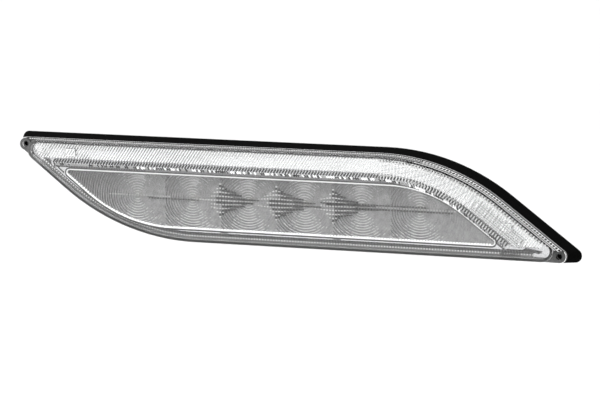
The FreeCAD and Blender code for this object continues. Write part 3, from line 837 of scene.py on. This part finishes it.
    def build(self) -> None:
        """Builds all lenses as one piece in place of the plain optic, then its rim and flutes."""
        whole = bmesh.new()
        outline = [px for px, _ in self.leaf(self.rim_width).corners(self.arc_step)]
        half_row = (self.led_count - 1) / 2
        for place in range(self.led_count):
            x = self.led_row_x + (place - half_row) * self.led_pitch
            low = x - self.led_pitch / 2 if place else min(outline)
            high = x + self.led_pitch / 2 if place < self.led_count - 1 else max(outline)
            part = self.lens_cell(x, self.led_row_z, low, high)
            data = bpy.data.meshes.new("optic_part")
            part.to_mesh(data)
            part.free()
            whole.from_mesh(data)
            bpy.data.meshes.remove(data)
        optic = add_piece("fresnel_optic", whole, OPTIC_ACRYLIC, Slot.OPTIC)
        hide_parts("optic_plate")
        self.paint_ring_highlights(optic)
        self.rim()
        self.streaks()


@dataclass
class BrightStrip:
    """Flutes and facets on the metallised strip between the light guide and the optic, with painted shade,
    painted shadow and painted highlights on it.
    """

    front: float = 21.8
    pitch: float = 2.0
    slant: float = math.radians(56.0)
    tooth: Pair = (2.6, 0.95)
    tooth_height: float = 0.7
    tooth_inset: float = 1.5
    facet_pitch: float = 1.5
    facet_length: float = 2.0
    facet_width: float = 1.1
    facet_height: float = 0.7
    least_length: float = 0.6
    least_width: float = 0.5
    least_height: float = 0.4
    facet_inset: float = 3.7
    bright_run: Pair = (-112.0, 120.0)
    shade_inset: float = 5.0
    shade: Pair = (2.1, 1.3)
    shade_height: float = 0.1
    dash: Pair = (1.1, 0.6)
    dash_pitch: float = 1.8
    dash_inset: float = 5.2
    dash_run: Pair = (-96.0, 72.0)
    base: Pair = (2.1, 2.6)
    base_from: float = 62.0
    edge: Pair = (2.2, 0.6)
    edge_inset: float = 0.1
    edge_from: float = 84.0
    end_line: tuple[Pair, ...] = ((-161.0, 17.6), (-160.4, 14.8), (-158.2, 12.5), (-155.4, 10.4))
    end_width: float = 0.8
    facet_slant: float = math.radians(40.0)
    seed: int = 7
    path: Leaf = Leaf(
        top=13.0, right=18.0, bottom=7.6, left=6.6,
        left_tip=2.5, right_tip=2.5, right_bend=108.0, left_bend=145.4,
    )

    def places(self, pitch: float, inset: float) -> Iterator[Triple]:
        """Walks the strip a distance in from the light guide's edge.

        Args:
            pitch: distance between two places.
            inset: how far in from the edge.

        Yields:
            x, z and outward normal angle of each place.
        """
        for x, z, normal in self.path.walk(RIGHT_SLOPE_TO_TOP, pitch):
            yield x - inset * math.cos(normal), z - inset * math.sin(normal), normal

    def teeth(self) -> None:
        """Builds the row of slanted flutes along the light guide, dark as a painted shadow of the guide's
        ribs.
        """
        mesh = bmesh.new()
        for x, z, _ in self.places(self.pitch, self.tooth_inset):
            add_bar(mesh, (x, z), (self.front, self.front + self.tooth_height), self.tooth, self.slant)
        add_piece("strip_flutes", mesh, SHADED_METAL, Slot.BRIGHT)

    def facets(self) -> None:
        """Builds the row of slanted facets beside the optic, bright, dark and grey ones mixed: painted
        glints, painted shade and painted grey reflections on the metallised strip.
        """
        draw = random.Random(self.seed)
        finishes = {"bright_facets": HIGHLIGHT_WHITE, "dark_facets": SHADED_METAL, "grey_facets": GREY_EDGES}
        rows = {name: bmesh.new() for name in finishes}
        for x, z, normal in self.places(self.facet_pitch, self.facet_inset):
            plain = self.bright_run[0] < x < self.bright_run[1]
            row = rows[draw.choice(tuple(rows) if plain else tuple(rows)[1:])]
            length = self.facet_length * draw.uniform(self.least_length, 1.0)
            width = self.facet_width * draw.uniform(self.least_width, 1.0)
            top = self.front + self.facet_height * draw.uniform(self.least_height, 1.0)
            add_bar(row, (x, z), (self.front, top), (length, width), normal + self.facet_slant)
        for name, mesh in rows.items():
            add_piece(name, mesh, finishes[name], Slot.BRIGHT)

    def shadow(self) -> None:
        """Builds the grey land beside the optic as painted shade, the pale base of the right flutes as a
        painted highlight and the dark marks as painted shade.
        """
        depths = (self.front, self.front + self.shade_height)
        places = self.places(self.shade[0], self.shade_inset)
        add_piece("strip_land", add_row(bmesh.new(), places, depths, self.shade), BORDER_GREY, Slot.BRIGHT)
        places = (at for at in self.places(self.base[0], self.tooth_inset) if at[0] > self.base_from)
        add_piece("strip_base", add_row(bmesh.new(), places, depths, self.base), LAMP_WHITE_AND_HIGHLIGHT, Slot.BRIGHT)
        depths = (self.front, self.front + 2 * self.shade_height)
        low, high = self.dash_run
        places = (at for at in self.places(self.dash_pitch, self.dash_inset) if not low < at[0] < high)
        dark = add_row(bmesh.new(), places, depths, self.dash)
        places = (at for at in self.places(self.base[0], self.edge_inset) if at[0] > self.edge_from)
        add_row(dark, places, depths, self.edge)
        for (x, z), (next_x, next_z) in zip(self.end_line, self.end_line[1:]):
            size = (math.hypot(next_x - x, next_z - z) + self.end_width / 2, self.end_width)
            middle = ((x + next_x) / 2, (z + next_z) / 2)
            add_bar(dark, middle, depths, size, math.atan2(next_z - z, next_x - x))
        add_piece("strip_dashes", dark, DARK_SHADE, Slot.BRIGHT)

    def build(self) -> None:
        """Builds both rows and the land beside them."""
        self.teeth()
        self.facets()
        self.shadow()


@dataclass
class LensWall:
    """Knurl of the lens: beads on the ledge outside its wall, bright as painted highlights, a painted shade
    line and a painted highlight line at the joint, lines along the wall and flutes inside it.
    """

    joint_tip: float = 4.4
    wall_tip: float = 7.1
    ledge: float = 19.9
    bead_pitch: float = 1.6
    bead: Pair = (0.95, 0.35)
    bead_inset: float = 0.7
    bead_height: float = 0.3
    shade_inset: float = 0.25
    shade: Pair = (2.1, 0.5)
    shade_height: float = 0.06
    edge_inset: float = 0.05
    edge_width: float = 0.3
    edge_height: float = 0.05
    line_inset: float = 0.9
    line_width: float = 0.1
    line_depths: tuple[Pair, ...] = ((21.9, 22.15), (23.5, 23.75))
    line_arc_step: float = math.radians(2.0)
    flute_inset: float = 2.8
    flute_radius: float = 0.35
    flute_depths: Pair = (19.2, 23.2)
    flute_sides: int = 8

    def beads(self) -> None:
        """Builds the dark line of painted shade and the bright beads of painted highlight on the ledge, from
        the right slope to the top.
        """
        for name, inset, height, size, pitch, finish in (
            ("joint_shade", self.shade_inset, self.shade_height, self.shade, self.shade[0], BLACK_GRAIN_AND_SHADE),
            ("bright_beads", self.bead_inset, self.bead_height, self.bead, self.bead_pitch, HIGHLIGHT_WHITE),
        ):
            places = Leaf.within(inset, self.joint_tip).walk(RIGHT_SLOPE_TO_TOP, pitch)
            row = add_row(bmesh.new(), places, (self.ledge, self.ledge + height), size)
            add_piece(name, row, finish, Slot.LENS)

    def lines(self) -> None:
        """Builds the bright line along the lens joint, a painted highlight, and the fine lines along the
        outside of the wall.
        """
        depths = (self.ledge, self.ledge + self.edge_height)
        joint = Leaf.within(self.edge_inset, self.joint_tip)
        edge = leaf_band(joint, self.edge_width, depths, self.line_arc_step)
        add_piece("joint_line", edge, HIGHLIGHT_WHITE, Slot.LENS)
        wall = Leaf.within(self.line_inset, self.wall_tip)
        for number, depths in enumerate(self.line_depths, start=1):
            band = leaf_band(wall, self.line_width, depths, self.line_arc_step)
            add_piece(f"wall_line_{number}", band, GREY_EDGES, Slot.LENS)

    def flutes(self) -> None:
        """Builds the upright flutes inside the wall below and left of the optic."""
        mesh = bmesh.new()
        upright = Matrix.Rotation(QUARTER, 4, "X")
        back, front = self.flute_depths
        path = Leaf.within(self.flute_inset, self.wall_tip)
        for x, z, _ in path.walk(LEFT_SLOPE_TO_BOTTOM, self.bead_pitch):
            place = Matrix.Translation(place_point(x, (back + front) / 2, z))
            bmesh.ops.create_cone(
                mesh, cap_ends=True, segments=self.flute_sides, radius1=self.flute_radius * MM,
                radius2=self.flute_radius * MM, depth=(front - back) * MM, matrix=place @ upright,
            )
        add_piece("lens_flutes", mesh, GREY_EDGES, Slot.LENS)

    def build(self) -> None:
        """Builds the beads, lines and flutes."""
        self.beads()
        self.lines()
        self.flutes()


@dataclass(frozen=True)
class Rail:
    """One fine rail or row of dots along the lens edge: inset from the joint, depths, width and finish."""

    inset: float
    depths: Pair
    width: float
    finish: Finish
    dots: bool = False


@dataclass
class SlopeRails:
    """Fine bright and dark rails and rows of dots on the lens edge down the right slope: painted highlights
    and painted shade on the clear edge.
    """

    tip: float = 4.4
    length: float = 2.1
    step: float = 2.0
    dot_length: float = 1.3
    dot_pitch: float = 2.2
    below: float = 28.5
    # White rails are painted highlights; black rails and dots are painted shade.
    rails: tuple[Rail, ...] = (
        Rail(0.75, (19.9, 19.94), 0.5, LAMP_WHITE_AND_HIGHLIGHT),
        Rail(0.85, (20.0, 24.0), 0.1, BLACK_GRAIN_AND_SHADE, True),
        Rail(0.96, (19.95, 24.0), 0.06, LAMP_WHITE_AND_HIGHLIGHT),
        Rail(1.1, (24.25, 24.7), 0.3, LAMP_WHITE_AND_HIGHLIGHT),
        Rail(1.35, (24.85, 25.2), 0.4, BLACK_GRAIN_AND_SHADE),
        Rail(1.7, (25.1, 25.36), 0.3, LAMP_WHITE_AND_HIGHLIGHT),
        Rail(2.6, (25.2, 25.495), 1.1, BLACK_GRAIN_AND_SHADE, True),
    )

    def build(self) -> None:
        """Builds the rails, those of one finish and kind as one piece."""
        pieces: dict[tuple[str, bool], Mesh] = {}
        finishes = {rail.finish.name: rail.finish for rail in self.rails}
        for rail in self.rails:
            mesh = pieces.setdefault((rail.finish.name, rail.dots), bmesh.new())
            pitch, length = (self.dot_pitch, self.dot_length) if rail.dots else (self.step, self.length)
            path = Leaf.within(rail.inset, self.tip).walk(RIGHT_SLOPE_AND_BEND, pitch)
            places = (at for at in path if at[1] < self.below)
            add_row(mesh, places, rail.depths, (length, rail.width))
        for (name, dots), mesh in pieces.items():
            add_piece(f"slope_{'dots' if dots else 'rails'}_{name}", mesh, finishes[name], Slot.LENS)


@dataclass
class BorderKnurl:
    """Grey land with fine dots and ripples on the frame's border below and left of the optic."""

    plate: float = 19.0
    tip: float = 5.0
    land_inset: float = 5.3
    land: Pair = (2.1, 4.6)
    land_pitch: float = 2.0
    land_height: float = 0.1
    pitch: float = 1.9
    dot: Pair = (0.95, 0.9)
    dot_height: float = 0.4
    dark_insets: tuple[float, ...] = (6.9, 5.9)
    pale_inset: float = 4.6
    ripple_from: Pair = (146.0, -28.4)
    ripple_count: int = 9
    ripple_pitch: float = 1.5
    ripple: Pair = (3.2, 0.6)
    ripple_slope: float = math.radians(62.0)
    stroke_at: Pair = (166.5, -25.4)
    stroke: Pair = (11.0, 0.7)
    stroke_slope: float = math.radians(-9.0)
    stroke_front: float = 22.6

    def places(self, inset: float, pitch: float) -> Iterator[Triple]:
        """Walks the left slope, the left bend and the bottom.

        Args:
            inset: how far inside the lens joint the walk runs.
            pitch: distance between two places.

        Returns:
            x, z and outward normal angle of each place.
        """
        return Leaf.within(inset, self.tip).walk(LEFT_SLOPE_TO_BOTTOM, pitch)

    def build(self) -> None:
        """Builds the land, the dots on it, and the ripples and the stroke at its right end."""
        places = self.places(self.land_inset, self.land_pitch)
        depths = (self.plate, self.plate + self.land_height)
        add_piece("border_land", add_row(bmesh.new(), places, depths, self.land), BORDER_GREY, Slot.BRIGHT)
        dark = bmesh.new()
        depths = (self.plate, self.plate + self.dot_height)
        for inset in self.dark_insets:
            add_row(dark, self.places(inset, self.pitch), depths, self.dot, turn=0.0)
        tall = (self.plate, self.plate + 2 * self.dot_height)
        for step in range(self.ripple_count):
            at = (self.ripple_from[0] + step * self.ripple_pitch, self.ripple_from[1])
            add_bar(dark, at, tall, self.ripple, self.ripple_slope)
        add_bar(dark, self.stroke_at, (self.plate, self.stroke_front), self.stroke, self.stroke_slope)
        add_piece("border_dark_dots", dark, DARK_SHADE, Slot.BRIGHT)
        pale = add_row(bmesh.new(), self.places(self.pale_inset, self.pitch), depths, self.dot, turn=0.0)
        add_piece("border_pale_dots", pale, FROSTED, Slot.BRIGHT)


@dataclass
class GuideMarks:
    """Fine marks on the light guide's front: dots, cross lines, two long outlines and lamp patches; the dark
    dots are painted shade, and the pale dots and cross lines glow as painted highlights.
    """

    front: float = 22.9
    tip: float = 5.0
    height: float = 0.12
    pitch: float = 2.2
    dot: Pair = (0.8, 1.1)
    dark_inset: float = 4.3
    pale_inset: float = 6.1
    line_inset: float = 11.5
    line: Pair = (10.0, 0.4)
    outline_middle: Pair = (144.6, -9.3)
    outline_slope: float = math.radians(-36.6)
    outlines: tuple[Pair, ...] = ((40.0, 2.9), (34.0, 1.4))
    outline_width: float = 0.45
    patches: tuple[Pair, ...] = ((-150.0, 24.0), (150.0, -10.5))
    patch: Pair = (6.6, 4.6)
    hatch_count: int = 3
    hatch_pitch: float = 2.0
    hatch: Pair = (4.4, 0.6)
    hatch_slope: float = math.radians(56.0)

    def marks(self) -> None:
        """Builds the rows of dark dots of painted shade, and of pale dots and cross lines of painted
        highlight, down the right slope.
        """
        depths = (self.front, self.front + self.height)
        for name, inset, size, finish in (
            ("guide_dark_dots", self.dark_inset, self.dot, DARK_SHADE),
            ("guide_pale_dots", self.pale_inset, self.dot, PALE_HIGHLIGHT),
            ("guide_cross_lines", self.line_inset, self.line, PALE_HIGHLIGHT),
        ):
            places = Leaf.within(inset, self.tip).walk(RIGHT_SLOPE_AND_BEND, self.pitch)
            add_piece(name, add_row(bmesh.new(), places, depths, size, turn=0.0), finish, Slot.GUIDE)

    def long_outlines(self) -> None:
        """Builds the two long outlines, one inside the other."""
        mesh = bmesh.new()
        along_x, along_z = math.cos(self.outline_slope), math.sin(self.outline_slope)
        depths = (self.front, self.front + 2 * self.height)
        for length, half in self.outlines:
            for side in (-half, half):
                at = (self.outline_middle[0] - side * along_z, self.outline_middle[1] + side * along_x)
                add_bar(mesh, at, depths, (length, self.outline_width), self.outline_slope)
            for end in (-length / 2, length / 2):
                at = (self.outline_middle[0] + end * along_x, self.outline_middle[1] + end * along_z)
                add_bar(mesh, at, depths, (self.outline_width, 2 * half), self.outline_slope)
        add_piece("guide_outlines", mesh, GREY_EDGES, Slot.GUIDE)

    def lamp_patches(self) -> None:
        """Builds the white patches over the guide's two lamps, with the hatch carried across them."""
        white, hatch = bmesh.new(), bmesh.new()
        for x, z in self.patches:
            add_bar(white, (x, z), (self.front, self.front + self.height / 2), self.patch, 0.0)
            for step in range(self.hatch_count):
                at = (x + (step - (self.hatch_count - 1) / 2) * self.hatch_pitch, z)
                add_bar(hatch, at, (self.front, self.front + self.height), self.hatch, self.hatch_slope)
        add_piece("lamp_patches", white, LAMP_WHITE_AND_HIGHLIGHT, Slot.GUIDE)
        add_piece("patch_hatch", hatch, GREY_EDGES, Slot.GUIDE)

    def build(self) -> None:
        """Builds all marks."""
        self.lamp_patches()
        self.marks()
        self.long_outlines()


class CadDress:
    """Finishes for the pieces that keep their construction shape."""

    @staticmethod
    def finish_of(node: str) -> Finish:
        """Picks the finish of a piece by its name or its family.

        Args:
            node: the piece's name.

        Returns:
            What it wears.
        """
        if node in NODE_FINISHES:
            return NODE_FINISHES[node]
        return next(finish for family, finish in FAMILY_FINISHES.items() if node.startswith(family))

    def dress(self) -> None:
        """Gives every piece its finish."""
        for node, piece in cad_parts.items():
            finish = self.finish_of(node)
            finish.put_on(piece)
            LOG.info("%s wears %s", node, finish.name)


@dataclass(frozen=True)
class Panel:
    """A square soft light: where it stands and its side, both in metres, and its power in watts."""

    name: str
    place: Triple
    size: float
    watts: float

    def build(self) -> None:
        """Adds the light, aimed at the lamp."""
        data = bpy.data.lights.new(self.name, "AREA")
        data.size = self.size
        data.energy = self.watts
        light = bpy.data.objects.new(self.name, data)
        light.location = self.place
        light.rotation_euler = Vector(self.place).to_track_quat("Z", "Y").to_euler()
        bpy.context.scene.collection.objects.link(light)


@dataclass
class Studio:
    """Pale floor, soft lights and the camera."""

    target: Triple = (3.34, 0.0, -3.6)
    yaw: float = math.radians(19.5)
    elevation: float = math.radians(8.45)
    focal_px: float = 3000.0
    mm_per_px: float = 0.656
    frame_width_px: float = 600.0
    sensor_mm: float = 36.0
    floor_drop: float = 0.5
    floor_size: float = 30.0
    dark_from: float = -0.95
    white_from: float = -0.55
    room_tone: float = 0.35
    white_tone: float = 1.15
    view_end: float = 100.0
    panels: tuple[Panel, ...] = (
        Panel("key_light", (-0.5, -1.0, 1.2), 0.8, 9.0),
        Panel("fill_light", (1.0, -1.3, 0.4), 0.5, 2.5),
    )

    def camera(self) -> None:
        """Sets the camera at the photo's viewing angle."""
        data = bpy.data.cameras.new("photo_camera")
        data.sensor_width = self.sensor_mm
        data.sensor_fit = "HORIZONTAL"
        data.lens = self.focal_px * self.sensor_mm / self.frame_width_px
        data.clip_end = self.view_end
        camera = bpy.data.objects.new("photo_camera", data)
        flat = math.cos(self.elevation)
        back = Vector((math.sin(self.yaw) * flat, -math.cos(self.yaw) * flat, math.sin(self.elevation)))
        camera.location = Vector(self.target) * MM + back * self.focal_px * self.mm_per_px * MM
        camera.rotation_euler = back.to_track_quat("Z", "Y").to_euler()
        bpy.context.scene.collection.objects.link(camera)
        bpy.context.scene.camera = camera

    def floor(self) -> None:
        """Lays the floor."""
        mesh = bmesh.new()
        drop = Matrix.Translation((0, 0, -self.floor_drop))
        bmesh.ops.create_grid(mesh, x_segments=1, y_segments=1, size=self.floor_size, matrix=drop)
        floor = mesh_object("studio_floor", mesh)
        STUDIO_FLOOR.put_on(floor)

    def surroundings(self) -> None:
        """Sets white surroundings behind the lamp that fall to a darker room behind the camera."""
        world = bpy.data.worlds.new("studio_world")
        world.use_nodes = True
        nodes, links = world.node_tree.nodes, world.node_tree.links
        way = nodes.new("ShaderNodeTexCoord")
        parts = nodes.new("ShaderNodeSeparateXYZ")
        links.new(way.outputs["Generated"], parts.inputs["Vector"])
        fall = nodes.new("ShaderNodeMapRange")
        set_inputs(fall, {
            "From Min": self.dark_from, "From Max": self.white_from,
            "To Min": self.room_tone, "To Max": self.white_tone,
        })
        links.new(parts.outputs["Y"], fall.inputs["Value"])
        background = nodes["Background"]
        links.new(fall.outputs["Result"], background.inputs["Strength"])
        background.inputs["Color"].default_value = (*grey(1.0), 1.0)
        bpy.context.scene.world = world

    def build(self) -> None:
        """Builds the studio."""
        self.camera()
        self.floor()
        for panel in self.panels:
            panel.build()
        self.surroundings()
        bpy.context.scene.view_settings.view_transform = "Standard"


def main() -> None:
    """Builds and dresses the lamp, then the studio."""
    logging.basicConfig(level=logging.INFO, format="%(name)s %(message)s")
    CadDress().dress()
    FresnelOptic().build()
    BrightStrip().build()
    LensWall().build()
    SlopeRails().build()
    BorderKnurl().build()
    GuideMarks().build()
    Studio().build()


if __name__ == "__main__":
    main()
